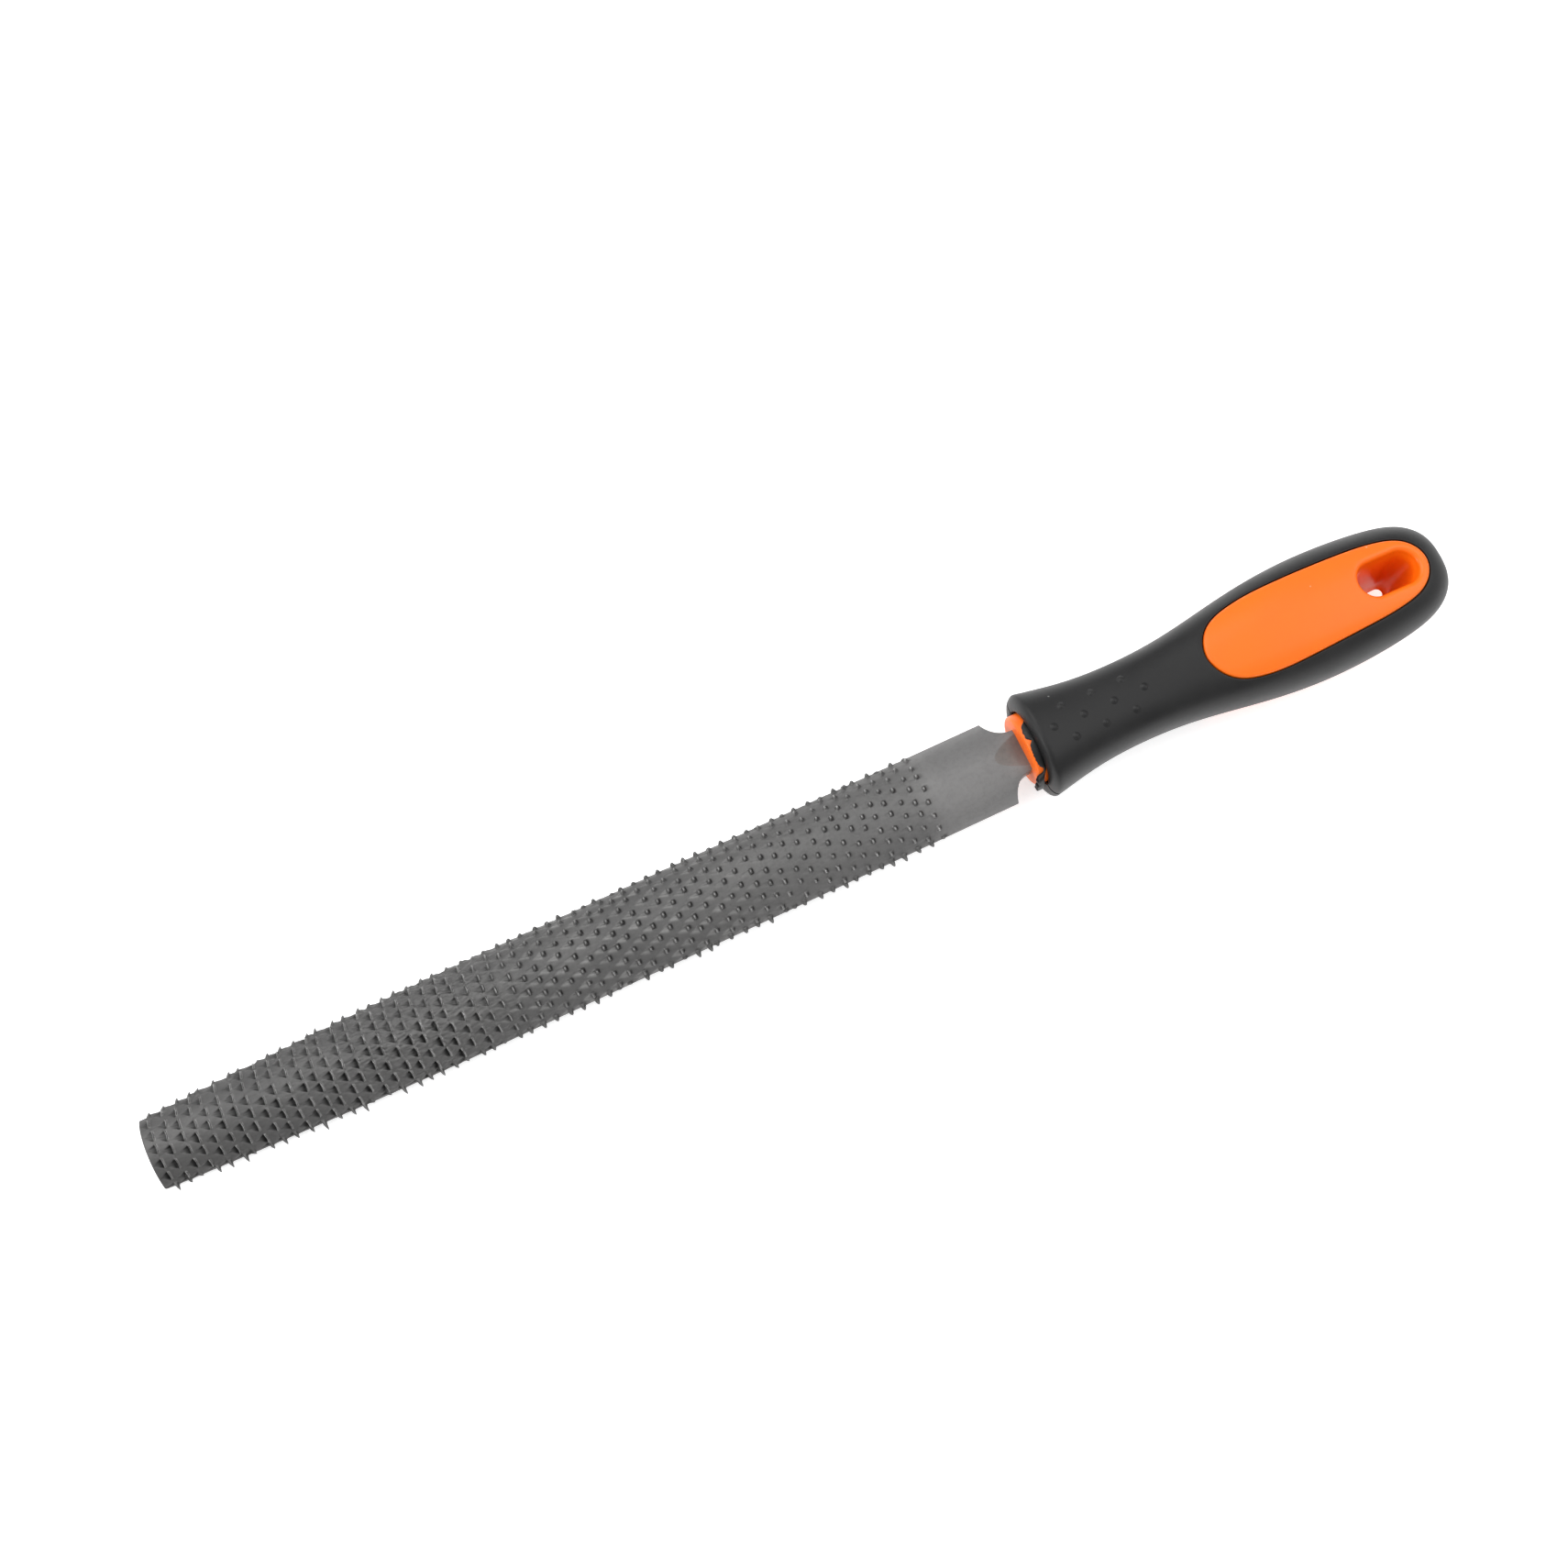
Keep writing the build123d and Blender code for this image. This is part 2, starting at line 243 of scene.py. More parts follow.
def draw_tooth(distance, place, edge, dice):
    """Shape of one tooth, drawn round what is usual at its place: a broad chip with a scoop in front of it
    near the tip, a small upright nub near the heel. The teeth along the edges lean out past the bar."""
    nub = float(rise(distance, *CHIPS_TO_NUBS))
    patch = float(rise(distance, *PATCHES_COME) * rise(distance, *PATCHES_GO))
    grown = float(rise(distance, *LONG_EDGE_TEETH))
    gouge = 0.55 + 0.45 * float(rise(place, 3.5, -2.5))  # the scoops are deepest towards the -Y side
    stand, push = 1.0, 0.0
    if edge:
        usual, added = NEAR_EDGE_STAND if place < 0 else FAR_EDGE_STAND
        stand = dice.uniform(*(low + more * grown for low, more in zip(usual, added)))
        stand *= STUB_STAND if dice.random() < STUB_CHANCE else 1.0
        push = NEAR_EDGE_PUSH if place < 0 else FAR_EDGE_PUSH
    slimmer = 0.75 if edge and nub < 0.5 else 1
    depth = 0.08 + 0.56 * (1 - nub) * gouge + 0.16 * patch
    return {
        "distance": distance + dice.normal(0, COLUMN_JITTER) + (dice.normal(0, EDGE_JITTER) if edge else 0),
        "across": place,
        "nub": nub,
        "height": between(TOOTH_HEIGHT, nub) * dice.uniform(0.75, 1.1) * stand,
        "half_width": between(TOOTH_HALF_WIDTH, nub) * dice.uniform(0.85, 1.12) * slimmer,
        "depth": depth * dice.uniform(0.7, 1.15) * (0.5 if edge else 1),
        "length": between((1.5 + 0.4 * gouge, 2.4), nub),
        "tail": (0.4 if edge else 0.13) * (1 - nub) * dice.uniform(0.6, 1.2),
        "lean": between(TOOTH_LEAN, nub) + (0.3 * grown if edge else 0),
        # this share also sets how dark the painted shade in the scoop is, darker towards the -Y side where
        # less light falls
        "gouge": gouge * dice.uniform(0.75, 1.0),
        "patch": patch * dice.uniform(0.3, 1.0),
        "push": push,
        "edge": edge,
    }


def tooth_lattice(reach_at, phases, dice):
    """Teeth of one side: staggered columns across it, each with one more tooth at either edge."""
    teeth = []
    for column, phase in enumerate(phases):
        distance = FIRST_COLUMN + column * COLUMN_PITCH
        reach = reach_at(distance)
        inner = [(row + phase) * ROW_PITCH + dice.normal(0, ROW_JITTER) for row in range(-6, 7)]
        places = [(place, False) for place in inner if abs(place) < reach - EDGE_MARGIN]
        places += [(side * (reach - 0.12 - dice.uniform(0, 0.2)), True) for side in (-1, 1)]
        teeth += [draw_tooth(distance, place, edge, dice) for place, edge in places]
    return teeth


def burr(u, v, tooth):
    """Height of what a tooth raises: a thin upright chip near the tip, a rounded post near the heel. u runs
    along the bar from the tooth towards the heel, v across it."""
    nub, edge = tooth["nub"], tooth["edge"]
    front = 0.16 + 0.3 * nub + 0.18 * edge
    behind = 0.3 + 0.22 * nub + 0.3 * (1 - nub) * edge
    rising = np.clip(1 - (np.clip(-u, 0, None) / front) ** 2, 0, 1)
    falling = np.clip(1 - (np.clip(u, 0, None) / behind) ** 2, 0, 1) ** 0.8
    outline = np.clip(1 - np.abs(v / tooth["half_width"]) ** (2.0 + 1.2 * (1 - nub)), 0, 1) ** 0.6
    return tooth["height"] * rising * falling * outline


def tooth_fields(distances, across, teeth):
    """What the teeth do to a grid of points: height of the relief, shift along the tool, push sideways, and
    three shares that the material uses: a painted highlight on the crests, painted shade in the hollows, and
    lighter patches. distances has one value per ring, across one per ring and point."""
    names = ("raised", "sunk", "shift", "push", "painted_highlight", "painted_shade", "patch")
    fields = {name: np.zeros_like(across) for name in names}

    def grow(name, rings, values):
        fields[name][rings] = np.maximum(fields[name][rings], values)

    for tooth in teeth:
        near = np.nonzero(np.abs(distances - tooth["distance"]) < TOOTH_REACH)[0]
        rings = slice(near[0], near[-1] + 1)
        u = (distances[rings] - tooth["distance"])[:, None]
        v = across[rings] - tooth["across"]
        nub, width = tooth["nub"], tooth["half_width"]

        # the burr, and the steel piled up behind it
        raised = burr(u, v, tooth)
        stands = raised / tooth["height"]
        tail_outline = np.clip(1 - (v / (width + 0.75)) ** 4, 0, 1)
        tail = tooth["tail"] * (u > -0.12) * np.clip(1 - u / 2.0, 0, 1) * tail_outline
        grow("raised", rings, np.maximum(raised, tail))

        # the scoop in front of it: a three-sided pyramid, deepest at the burr, with its crease off the middle
        ramp = np.clip(1 + (u + 0.1) / tooth["length"], 0, 1) * (u < -0.08)
        crease = width * (0.2 - 0.25 * ramp)
        beside = np.abs(v - crease) / (width * (0.1 + 1.0 * ramp))
        grow("sunk", rings, tooth["depth"] * ramp ** (1.25 - 0.25 * nub) * smooth((1 - beside) / 0.4))

        # painted shade: in the scoop and its crease, at the foot of a nub under its overhang, and over the
        # body of the tooth
        hollow = (1 - nub) * np.clip(ramp * 2.0 - 0.5, 0, 1) * smooth((1.05 - beside) / 0.35) * tooth["gouge"]
        groove = (1 - nub) * 0.7 * (ramp > 0) * ramp**0.3 * np.exp(-(((v - crease) / 0.14) ** 2))
        foot = nub * np.exp(-(((u - 0.4) / 0.3) ** 2)) * np.clip(1 - (v / (width * 1.3)) ** 2, 0, 1)
        body = 0.62 * np.clip(stands * 3, 0, 1) * (1 if tooth["edge"] else nub * (u > -0.1))
        grow("painted_shade", rings, np.maximum(np.maximum(hollow, groove), np.maximum(foot, body)))

        # painted highlight: the top of the tooth and the back of a chip
        top = np.clip(stands * 2 - 1.1, 0, 1) * smooth((0.22 + 0.2 * (1 - nub) - u) / 0.2)
        back_outline = np.clip(1 - (v / width) ** 2, 0, 1) ** 0.5
        back = (1 - nub) * (u > -0.06) * smooth((0.62 - u) / 0.3) * back_outline
        grow("painted_highlight", rings, np.maximum(top, 0.8 * back))

        # lighter patch: a triangle in front of the tooth, narrowing towards the tip
        far = np.clip(-(u + 0.45) / 2.4, 0, 1)
        in_front = smooth((-0.4 - u) / 0.25)
        triangle = smooth((1.2 * (1 - far) ** 0.7 - np.abs(v + 0.1 + 0.2 * far)) / 0.6) * in_front
        grow("patch", rings, tooth["patch"] * triangle)

        pull = np.exp(-(u**2 + (v / 1.4) ** 2) / 0.6)
        fields["shift"][rings] += pull * stands * tooth["lean"]
        fields["push"][rings] += tooth["push"] * raised
    fields["relief"] = fields["raised"] - fields["sunk"] * (fields["raised"] < 0.12)
    return fields


# ---------------- blade ----------------


def bar_section(distance):
    """Half width and thickness of the bar at a distance from its tip."""
    left = 1 - np.clip(distance / TAPER_LENGTH, 0, 1)
    grown = 1 - left**TAPER_POWER
    half_width = (TIP_WIDTH + (BLADE_WIDTH - TIP_WIDTH) * grown) / 2
    return half_width, TIP_THICKNESS + (BLADE_THICKNESS - TIP_THICKNESS) * grown


def crown_radius(half_width, thickness):
    """Radius of the round side where the bar has this section."""
    height = thickness - EDGE_LAND
    return (half_width**2 + height**2) / (2 * height)


def crown_reach(distance):
    """How far the round side reaches from its middle to an edge, along its arc."""
    half_width, thickness = bar_section(distance)
    radius = crown_radius(half_width, thickness)
    return float(radius * np.arcsin(min(half_width / radius, 1)))


def flat_reach(distance):
    """How far the toothed stretch of the flat side reaches from its middle."""
    return float(bar_section(distance)[0]) - FLAT_EDGE_INSET


def crown_phases():
    """Shift of each column of the round side, as a share of the pitch between its rows."""
    phases, phase = [], 0.0
    for column in range(COLUMNS):
        phases.append(phase % 1.0)
        distance = FIRST_COLUMN + column * COLUMN_PITCH
        phase += 0.5 + next(drift for start, drift in LATTICE_DRIFT if distance > start)
    return phases


def unevenness(distances, shape, dice):
    """Height of the small bumps that the punching leaves all over the toothed stretch, most of them some way
    behind the tip."""
    bumps = dice.normal(0, 1, shape)
    for _ in range(3):
        neighbours = (np.roll(bumps, step, axis) for axis, step in ((1, 1), (1, -1), (0, 1), (0, -1)))
        bumps = sum(neighbours, bumps) / 5
    toothed = smooth((FIRST_COLUMN + COLUMNS * COLUMN_PITCH - 1.5 - distances) / 1.5)
    strength = 0.035 + 0.2 * np.exp(-(((distances - 60) / 22) ** 2))
    return bumps * (strength * toothed)[:, None]


def blade_ring_distances():
    """Distances from the tip of the mesh rings of the bar, up to the neck."""
    toothed = [FIRST_COLUMN + c * COLUMN_PITCH + r for c in range(COLUMNS) for r in COLUMN_RINGS]
    toothed = [d for d in toothed if d > 0.3]
    facet_start = FACET_START_X - TIP_X
    heel = np.arange(toothed[-1] + 0.8, facet_start - 0.2, HEEL_SPACING)
    facet = np.linspace(facet_start, BLADE_LENGTH, 7)
    scallop = NECK_X - TIP_X - SCALLOP_RADIUS * np.cos(np.radians(range(5, 91, 5)))
    return np.array([*(distance for distance, _ in TIP_BREAK), *toothed, *heel, *facet, *scallop])


def build_blade():
    """The blade as one closed mesh: rings round the bar from its tip to its neck, then the tang."""
    dice = np.random.default_rng(11)
    distances = blade_ring_distances()
    x = TIP_X + distances
    half_width, thickness = bar_section(distances)
    radius = crown_radius(half_width, thickness)
    # the scallops narrow the bar, and the tip's corners are slightly broken
    scallop = np.sqrt(np.clip(SCALLOP_RADIUS**2 - (NECK_X - x) ** 2, 0, None))
    broken = np.interp(distances, *zip(*TIP_BREAK))
    reach = np.where(x > SHOULDER_X, half_width - scallop, half_width) - broken
    crown_top = FLAT_SIDE_Z + thickness - broken
    fade = np.clip(distances / 0.5, 0, 1)[:, None]  # nothing moves the points of the tip's face

    # round side
    share = np.linspace(1, -1, CROWN_SAMPLES)[None, :]
    angle = np.arcsin(np.clip(reach / radius, -1, 1))[:, None] * share
    arc = angle * radius[:, None]
    above = tooth_fields(distances, arc, tooth_lattice(crown_reach, crown_phases(), dice))
    relief = (above["relief"] + unevenness(distances, arc.shape, dice)) * fade
    top = np.stack([
        x[:, None] + above["shift"] * fade,
        (radius[:, None] + relief) * np.sin(angle) + above["push"] * fade,
        crown_top[:, None] - radius[:, None] + (radius[:, None] + relief) * np.cos(angle),
    ], -1)
    facet_z = (FLAT_SIDE_Z + BLADE_THICKNESS - (x - FACET_START_X) * math.tan(FACET_SLOPE))[:, None]
    on_facet = (x > FACET_START_X)[:, None] & (top[..., 2] > facet_z)
    top[..., 2] = np.where(on_facet, facet_z, top[..., 2])
    above["facet"] = on_facet.astype(float)
    # painted light across the round side, carried in the tone
    flank_light = rise(distances, *PAINTED_FLANK_FROM)[:, None] * np.interp(share, *zip(*PAINTED_FLANK_LIGHT))
    above["tone"] = np.interp(distances, *zip(*TONES))[:, None] * (1 + flank_light)
    edge_tone = above["tone"][:, :1]

    # flat side
    flat_y = np.linspace(-1, 1, FLAT_SAMPLES)[None, :] * reach[:, None]
    flat_phases = [0.5 * (column % 2) for column in range(COLUMNS)]
    below = tooth_fields(distances, flat_y, tooth_lattice(flat_reach, flat_phases, dice))
    below["facet"], below["tone"] = np.zeros_like(flat_y), edge_tone + np.zeros_like(flat_y)
    bottom = np.stack([
        x[:, None] + below["shift"] * fade,
        flat_y,
        (FLAT_SIDE_Z + broken)[:, None] - np.clip(below["relief"], -1, HIGHEST_BELOW) * fade,
    ], -1)

    # the upright land along each edge
    steps = np.linspace(0, 1, LAND_SAMPLES + 2)[None, 1:-1, None]
    left = top[:, -1:, :] * (1 - steps) + bottom[:, :1, :] * steps
    right = bottom[:, -1:, :] * (1 - steps) + top[:, :1, :] * steps
    plain = np.zeros((len(distances), LAND_SAMPLES))
    land = {name: edge_tone + plain if name == "tone" else plain for name in MARKS}
    marks = {name: np.concatenate([above[name], land[name], below[name], land[name]], 1) for name in MARKS}

    # tang: from the neck straight to its small rectangular end
    bar = np.concatenate([top, left, bottom, right], 1)
    neck = bar[-1]
    end = np.stack([
        np.full(len(neck), TANG_STATIONS[-1]),
        neck[:, 1] / np.abs(neck[:, 1]).max() * TANG_END_WIDTH / 2,
        np.where(np.arange(len(neck)) < CROWN_SAMPLES + 2, 1, -1) * TANG_END_THICKNESS / 2,
    ], -1)
    shares = (np.array(TANG_STATIONS) - NECK_X) / (TANG_STATIONS[-1] - NECK_X)
    tang = np.array([neck * (1 - s) + end * s for s in shares])
    rings = np.concatenate([bar, tang], 0)
    numbers = np.arange(rings[..., 0].size).reshape(rings.shape[:2]).tolist()
    verts, faces = list(rings.reshape(-1, 3)), strips(numbers)
    for which in (0, -1):
        close_ring(verts, faces, numbers[which], rings[which].mean(0))
    piece = make_piece("rasp_blade", verts, faces, 50, weld=False)
    hidden = np.full(len(verts) - marks["tone"].size, 0.5)
    for name, values in marks.items():
        layer = piece.data.attributes.new(name, "FLOAT", "POINT")
        layer.data.foreach_set("value", np.append(values.ravel(), hidden).astype(np.float32))
    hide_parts("blade")
    return piece


# ---------------- handle forms ----------------


def natural_spline(knots, values, at):
    """Natural cubic spline through values at knots, at the given places."""
    n, h = len(knots), np.diff(knots)
    system, right = np.eye(n), np.zeros(n)
    for k in range(1, n - 1):
        system[k, k - 1:k + 2] = h[k - 1], 2 * (h[k - 1] + h[k]), h[k]
        right[k] = 6 * ((values[k + 1] - values[k]) / h[k] - (values[k] - values[k - 1]) / h[k - 1])
    bend = np.linalg.solve(system, right)
    k = np.clip(np.searchsorted(knots, at) - 1, 0, n - 2)
    a, b = (knots[k + 1] - at) / h[k], (at - knots[k]) / h[k]
    bent = ((a**3 - a) * bend[k] + (b**3 - b) * bend[k + 1]) * h[k] ** 2 / 6
    return a * values[k] + b * values[k + 1] + bent


def lengths_along(points):
    """Length along a line of points, up to each of them."""
    return np.concatenate([[0], np.cumsum(np.linalg.norm(np.diff(points, axis=0), axis=1))])


# the handle's outline, close together: length along it from the front face, X, half width and half height
along_knots = lengths_along(HANDLE_STATIONS[:, :2])
TAIL_U = along_knots[-2]
fine_u = np.linspace(0, along_knots[-1], 2000)
fine_x, fine_a, fine_b = (natural_spline(along_knots, HANDLE_STATIONS[:, c], fine_u) for c in range(3))
NOSE_U = float(np.interp(NOSE_ROUNDING, fine_x, fine_u))


def oval_point(a, b, theta, power=OVAL_POWER):
    """Point of a superellipse of half width a and half height b, as (y, z)."""
    c, s = np.cos(theta), np.sin(theta)
    size = (np.abs(c) ** power + np.abs(s) ** power) ** (-1 / power)
    return a * c * size, b * s * size


def skin_point(u, theta, inset=0.0):
    """Point of the handle's outer form, or of a form inset from it."""
    a, b = np.interp(u, fine_u, fine_a) - inset, np.interp(u, fine_u, fine_b) - inset
    y, z = oval_point(a, b, theta)
    return np.stack([np.interp(u, fine_u, fine_x), y, z], -1)


def skin_height(x, y):
    """Height of the outer form above the middle plane at a place in plan."""
    a, b = np.interp(x, fine_x, fine_a), np.interp(x, fine_x, fine_b)
    return b * np.clip(1 - np.abs(y / a) ** OVAL_POWER, 0, 1) ** (1 / OVAL_POWER)


def skin_address(x, y):
    """(u, theta) of the point of the upper skin at a place in plan."""
    share = np.clip(np.abs(y) / np.interp(x, fine_x, fine_a), 0, 1)
    up = (1 - share**OVAL_POWER) ** (1 / OVAL_POWER)
    return np.interp(x, fine_x, fine_u), np.arctan2(up, share * np.sign(y))


def window_loop():
    """Evenly spaced points of the window's outline in plan, with their outward directions."""
    points = np.concatenate([WINDOW_OUTLINE[-4:], WINDOW_OUTLINE, WINDOW_OUTLINE[:5]])
    knots = lengths_along(points)
    at = np.linspace(knots[4], knots[4 + len(WINDOW_OUTLINE)], 4000)
    curve = np.stack([natural_spline(knots, points[:, c], at) for c in range(2)], -1)
    length = lengths_along(curve)
    even = np.linspace(0, length[-1], WINDOW_POINTS, endpoint=False)
    loop = np.stack([np.interp(even, length, curve[:, c]) for c in range(2)], -1)
    run = np.roll(loop, -1, 0) - np.roll(loop, 1, 0)
    out = np.stack([-run[:, 1], run[:, 0]], -1) / np.linalg.norm(run, axis=1)[:, None]
    return loop, out


def slot_loop(length, width):
    """Evenly spaced points round an obround in plan, with their outward directions."""
    straight, r = length - width, width / 2
    total = 2 * straight + 2 * math.pi * r
    points, outs = [], []
    for step in range(SLOT_POINTS):
        s = total * step / SLOT_POINTS
        if s < straight:
            points.append((s - straight / 2, r))
            outs.append((0, 1))
        elif s < straight + math.pi * r:
            turn = math.pi / 2 - (s - straight) / r
            outs.append((math.cos(turn), math.sin(turn)))
            points.append((straight / 2 + r * outs[-1][0], r * outs[-1][1]))
        elif s < 2 * straight + math.pi * r:
            points.append((straight / 2 - (s - straight - math.pi * r), -r))
            outs.append((0, -1))
        else:
            turn = -math.pi / 2 - (s - 2 * straight - math.pi * r) / r
            outs.append((math.cos(turn), math.sin(turn)))
            points.append((-straight / 2 + r * outs[-1][0], r * outs[-1][1]))
    return np.array(points) + (SLOT_X, 0), np.array(outs)


def inside(points, loop):
    """Which points lie inside a closed loop."""
    x, y = points[:, 0][:, None], points[:, 1][:, None]
    x0, y0 = loop[:, 0][None], loop[:, 1][None]
    x1, y1 = np.roll(loop, -1, 0)[:, 0][None], np.roll(loop, -1, 0)[:, 1][None]
    crosses = ((y0 > y) != (y1 > y)) & (x < (x1 - x0) * (y - y0) / (y1 - y0 + 1e-12) + x0)
    return crosses.sum(1) % 2 == 1


def fill(outer, holes, spacing):
    """Triangles between a closed outer loop and closed holes, in two dimensions. Returns the points, with the
    loops' own points first, and the triangles."""
    loops = [outer, *holes]

    def within(points):
        return inside(points, outer) & ~np.any([inside(points, hole) for hole in holes], axis=0)

    # a triangular grid of points that keeps clear of the loops
    low, high = outer.min(0), outer.max(0)
    rows = np.arange(low[1], high[1], spacing * math.sqrt(3) / 2)
    grid = np.array([(x + (row % 2) * spacing / 2, y) for row, y in enumerate(rows)
                     for x in np.arange(low[0], high[0], spacing)])
    grid = grid[within(grid)]
    for loop in loops:
        grid = grid[np.linalg.norm(grid[:, None] - loop[None], axis=2).min(axis=1) > 0.55 * spacing]
    points = np.concatenate([*loops, grid])

    edges, start = [], 0
    for loop in loops:
        edges += [(start + k, start + (k + 1) % len(loop)) for k in range(len(loop))]
        start += len(loop)
    flat_points = [Vector(point) for point in points]
    found, _, triangles, origins, _, _ = geometry.delaunay_2d_cdt(flat_points, edges, [], 0, 1e-7)
    found, triangles = np.array([tuple(point) for point in found]), np.array(triangles)
    kept = triangles[within(found[triangles].mean(1))]
    # back to the numbers of the points that went in
    return points, [tuple(origins[v][0] for v in triangle) for triangle in kept]


def lip_rows(verts, skin_row, loop, away, sign):
    """Rows of vertices down a rounded lip along the window, from a row that is already in the skin."""
    rows = [skin_row]
    for aside, drop in LIP[1:]:
        spot = loop + away * (GAP + aside)
        z = skin_height(spot[:, 0], spot[:, 1]) - drop
        rows.append(add_row(verts, np.column_stack([spot, sign * z])))
    return rows


# ---------------- grip ----------------


def add_nose(verts, faces, outer_row, inner_row):
    """The rounded nose, its front face with the parting grooves, and the hole for the collar."""
    half_width, half_height = np.interp(NOSE_U, fine_u, fine_a), np.interp(NOSE_U, fine_u, fine_b)
    hole = COLLAR_WIDTH / 2 + COLLAR_CLEARANCE, COLLAR_HEIGHT / 2 + COLLAR_CLEARANCE
    groove = np.where(np.abs(np.sin(RIM_THETA)) < np.mean(GROOVE_WALL), GROOVE_DEPTH, 0.0)
    # X, inset from the outer form, share of the way to the hole
    profile = [(NOSE_ROUNDING * (1 - math.sin(t)), NOSE_DOME * (1 - math.cos(t)), 0.0)
               for t in np.radians(range(10, 91, 10))]
    profile += [(0.04, NOSE_DOME, 0.6), (0.3, NOSE_DOME, 1.0), (FRONT_WALL, NOSE_DOME, 1.0)]
    rows = [outer_row]
    for x, inset, to_hole in profile:
        width = between((half_width - inset, hole[0]), to_hole)
        height = between((half_height - inset, hole[1]), to_hole)
        y, z = oval_point(width, height, RIM_THETA, between((OVAL_POWER, 2), to_hole))
        cut = groove if inset > 0.15 and x < FRONT_WALL else 0 * groove
        rows.append(add_row(verts, np.column_stack([x + cut, y, z])))
    faces += strips([*rows, inner_row])


def add_tail(verts, faces, skin_row, inset):
    """The small dome that closes a skin at the far end of the handle."""
    rows = [skin_row]
    shrink = 1 - INNER_TAIL_SHRINK * inset
    for x, half_width, half_height in TAIL_DOME:
        y, z = oval_point(half_width, half_height, RIM_THETA, TAIL_POWER)
        rows.append(add_row(verts, np.column_stack([np.full(RIM_POINTS, x - inset), y * shrink, z * shrink])))
    faces += strips(rows)
    close_ring(verts, faces, rows[-1], (TAIL_END_X - inset, 0, 0))


def add_pip(verts, faces, x, y, sign):
    """One low soft bump on the upper or the lower face of the neck."""
    around = np.linspace(0, 2 * math.pi, PIP_POINTS, endpoint=False)
    rows = []
    for share in (1.0, 0.86, 0.7, 0.54, 0.38, 0.2):
        ring_x = x + PIP_RADIUS * share * np.cos(around)
        ring_y = y + PIP_RADIUS * share * np.sin(around)
        bump = PIP_HEIGHT * math.cos(math.pi * share / 2) ** 1.3 - PIP_SUNK
        ring_z = sign * (skin_height(ring_x, ring_y) + bump)
        rows.append(add_row(verts, np.column_stack([ring_x, ring_y, ring_z])))
    faces += strips(rows)
    top = float(skin_height(x, y)) + PIP_HEIGHT - PIP_SUNK
    close_ring(verts, faces, rows[-1], (x, y, sign * top))


def add_flash(verts, faces):
    """The ragged film of rubber that the moulding left on the collar: a thin shell over its top and -Y side,
    torn along its front, with a thicker lump low on the -Y side."""
    dice = np.random.default_rng(5)
    degrees = np.arange(FLASH_START, FLASH_END, FLASH_STEP)
    angles = np.radians(degrees)
    torn = np.interp(degrees, *zip(*FLASH_EDGE)) + dice.uniform(-0.09, 0.09, len(angles))
    lump = rise(degrees, 140, 154) * rise(degrees, 198, 190)
    back = between(FLASH_BACK, lump)
    ends = rise(degrees, FLASH_START - 2, FLASH_START + 6) * rise(degrees, FLASH_END + 1, FLASH_END - 5)
    front = back + (torn - back) * np.maximum(ends, 0.12)
    rows = []
    for place, lift in FLASH_SECTION:
        lifted = lift > 0.1
        stand = lift + FLASH_LUMP_LIFT * lump * lifted + dice.uniform(-0.05, 0.05, len(angles)) * lifted
        y = (COLLAR_WIDTH / 2 + stand) * np.cos(angles)
        z = (COLLAR_HEIGHT / 2 + stand) * np.sin(angles)
        rows.append(add_row(verts, np.column_stack([back + (front - back) * place, y, z])))
    faces += strips([*rows, rows[0]], closed=False)
    faces += [[row[end] for row in rows] for end in (0, -1)]


def build_grip():
    """The rubber grip: an outer and an inner skin, joined at the windows and at the nose."""
    # both skins are laid out flat, as length along the handle by length round it
    loop, out = window_loop()
    lip_top = loop + out * (GAP + LIP[0][0])
    u, theta = skin_address(lip_top[:, 0], lip_top[:, 1])
    windows = [np.column_stack([u, angle * SKIN_RADIUS]) for angle in (theta, 2 * math.pi - theta)]
    along = np.arange(NOSE_U, TAIL_U, SKIN_SPACING)[1:]
    round_skin = np.append(RIM_THETA, 2 * math.pi) * SKIN_RADIUS
    border = np.array([(NOSE_U, v) for v in round_skin] + [(u, round_skin[-1]) for u in along]
                      + [(TAIL_U, v) for v in round_skin[::-1]] + [(u, 0.0) for u in along[::-1]])
    points, triangles = fill(border, windows, SKIN_SPACING)
    angles = points[:, 1] / SKIN_RADIUS
    count = len(points)
    verts = [*skin_point(points[:, 0], angles), *skin_point(points[:, 0], angles, GRIP_THICKNESS)]
    faces = triangles + [tuple(count + v for v in t) for t in triangles]

    for which, sign in enumerate((1, -1)):
        start = len(border) + which * WINDOW_POINTS
        rim = list(range(start, start + WINDOW_POINTS))
        faces += strips([*lip_rows(verts, rim, loop, out, sign), [count + v for v in rim]])

    nose_row = list(range(RIM_POINTS))
    add_nose(verts, faces, nose_row, [count + v for v in nose_row])
    # the tail's border runs the other way round
    tail_first = RIM_POINTS + 1 + len(along) + RIM_POINTS
    tail_row = [tail_first - k for k in range(RIM_POINTS)]
    add_tail(verts, faces, tail_row, 0.0)
    add_tail(verts, faces, [count + v for v in tail_row], GRIP_THICKNESS)

    spots = [(PIP_FIRST_X + PIP_PITCH_X * k, 0.0) for k in range(4)]
    spots += [(PIP_FIRST_X + PIP_PITCH_X * (k + 0.5), side * PIP_PITCH_Y)
              for k in range(3) for side in (-1, 1)]
    for x, y in spots:
        for sign in (1, -1):
            add_pip(verts, faces, x, y, sign)
    add_flash(verts, faces)
    piece = make_piece("soft_grip", verts, faces, 55)
    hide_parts("grip")
    return piece


# ---------------- core ----------------


